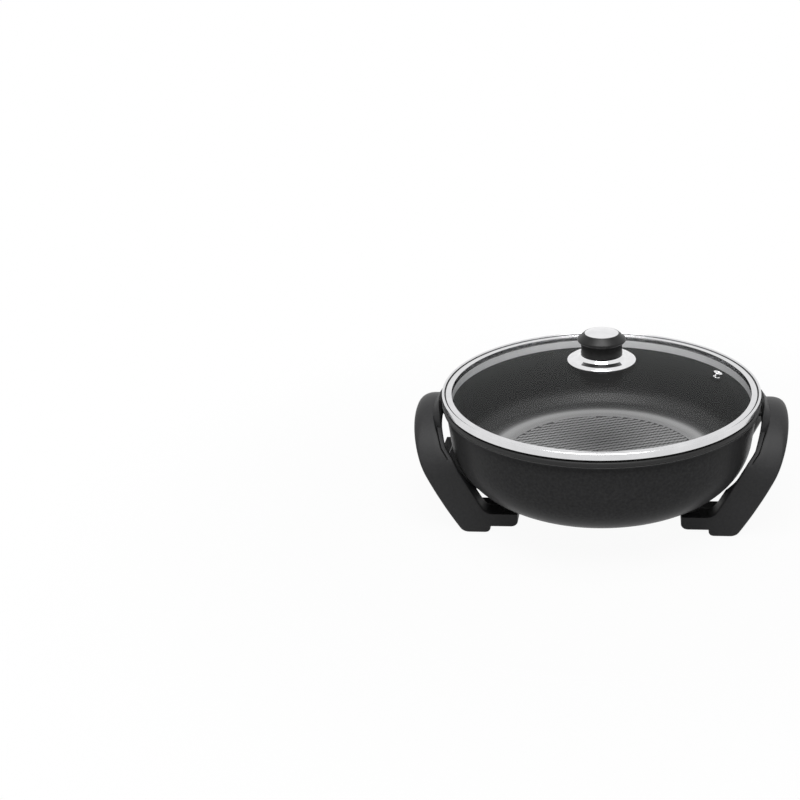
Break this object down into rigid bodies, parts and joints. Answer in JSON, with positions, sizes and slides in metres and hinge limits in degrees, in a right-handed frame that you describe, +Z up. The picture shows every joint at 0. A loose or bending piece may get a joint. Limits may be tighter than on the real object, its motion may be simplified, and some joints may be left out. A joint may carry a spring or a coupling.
{
  "type": "round electric frying pan with lift-off lid",
  "caption": "Round deep electric frying pan on two arch shaped handle legs, with a lift-off domed glass lid and a socket for a plug-in thermostat.",
  "frame": {"origin": "middle of the pan on the table, under the feet", "axes": "+X to the right across both handles, +Y to the back, +Z up; the socket is on the left, at -X"},
  "size_m": [0.3656, 0.3106, 0.1858],
  "materials": {
    "nonstick_coating": "satin non-stick",
    "shell_paint": "fine mottled semi-matt",
    "plate_aluminium": "as cast",
    "element_sheath": "oxidised",
    "reflector_sheet": "rolled sheet",
    "zinc_steel": "zinc plated",
    "pin_nickel": "nickel plated",
    "insulator_glaze": "glazed ceramic bead",
    "handle_phenolic": "moulded satin",
    "boss_phenolic": "moulded",
    "knob_phenolic": "moulded gloss",
    "foot_rubber": "matt",
    "seal_silicone": "matt silicone",
    "lid_glass": "clear tempered",
    "band_steel": "polished stainless",
    "trim_chrome": "polished",
    "insert_brass": "turned"
  },
  "bodies": {
    "base": {"inner_pan": "nonstick_coating", "outer_shell": "shell_paint", "rim_gasket": "seal_silicone", "heating_plate": "plate_aluminium", "heating_element": "element_sheath", "plate_nuts": "zinc_steel", "heat_reflector": "reflector_sheet", "centre_spacer": "zinc_steel", "centre_washer": "zinc_steel", "centre_bolt": "zinc_steel", "probe_sleeve": "zinc_steel", "power_pins": "pin_nickel", "pin_insulators": "insulator_glaze", "inlet_bracket": "zinc_steel", "inlet_shroud": "handle_phenolic", "shroud_screws": "zinc_steel", "left_handle": "handle_phenolic", "right_handle": "handle_phenolic", "handle_lugs": "zinc_steel", "handle_screws": "zinc_steel", "foot_bosses": "boss_phenolic", "foot_screws": "zinc_steel", "foot_nuts": "zinc_steel", "rubber_feet": "foot_rubber"},
    "lid": {"lid_glass": "lid_glass", "lid_band": "band_steel", "vent_eyelet": "trim_chrome", "knob_skirt": "trim_chrome", "knob_body": "knob_phenolic", "knob_cap": "trim_chrome", "knob_insert": "insert_brass", "knob_screw": "zinc_steel", "knob_washer": "zinc_steel", "knob_seals": "seal_silicone"}
  },
  "joints": [
    {"name": "lid_lift", "type": "slide", "parent": "base", "child": "lid", "axis": [0, 0, 1], "range_m": [0, 0.15]}
  ]
}
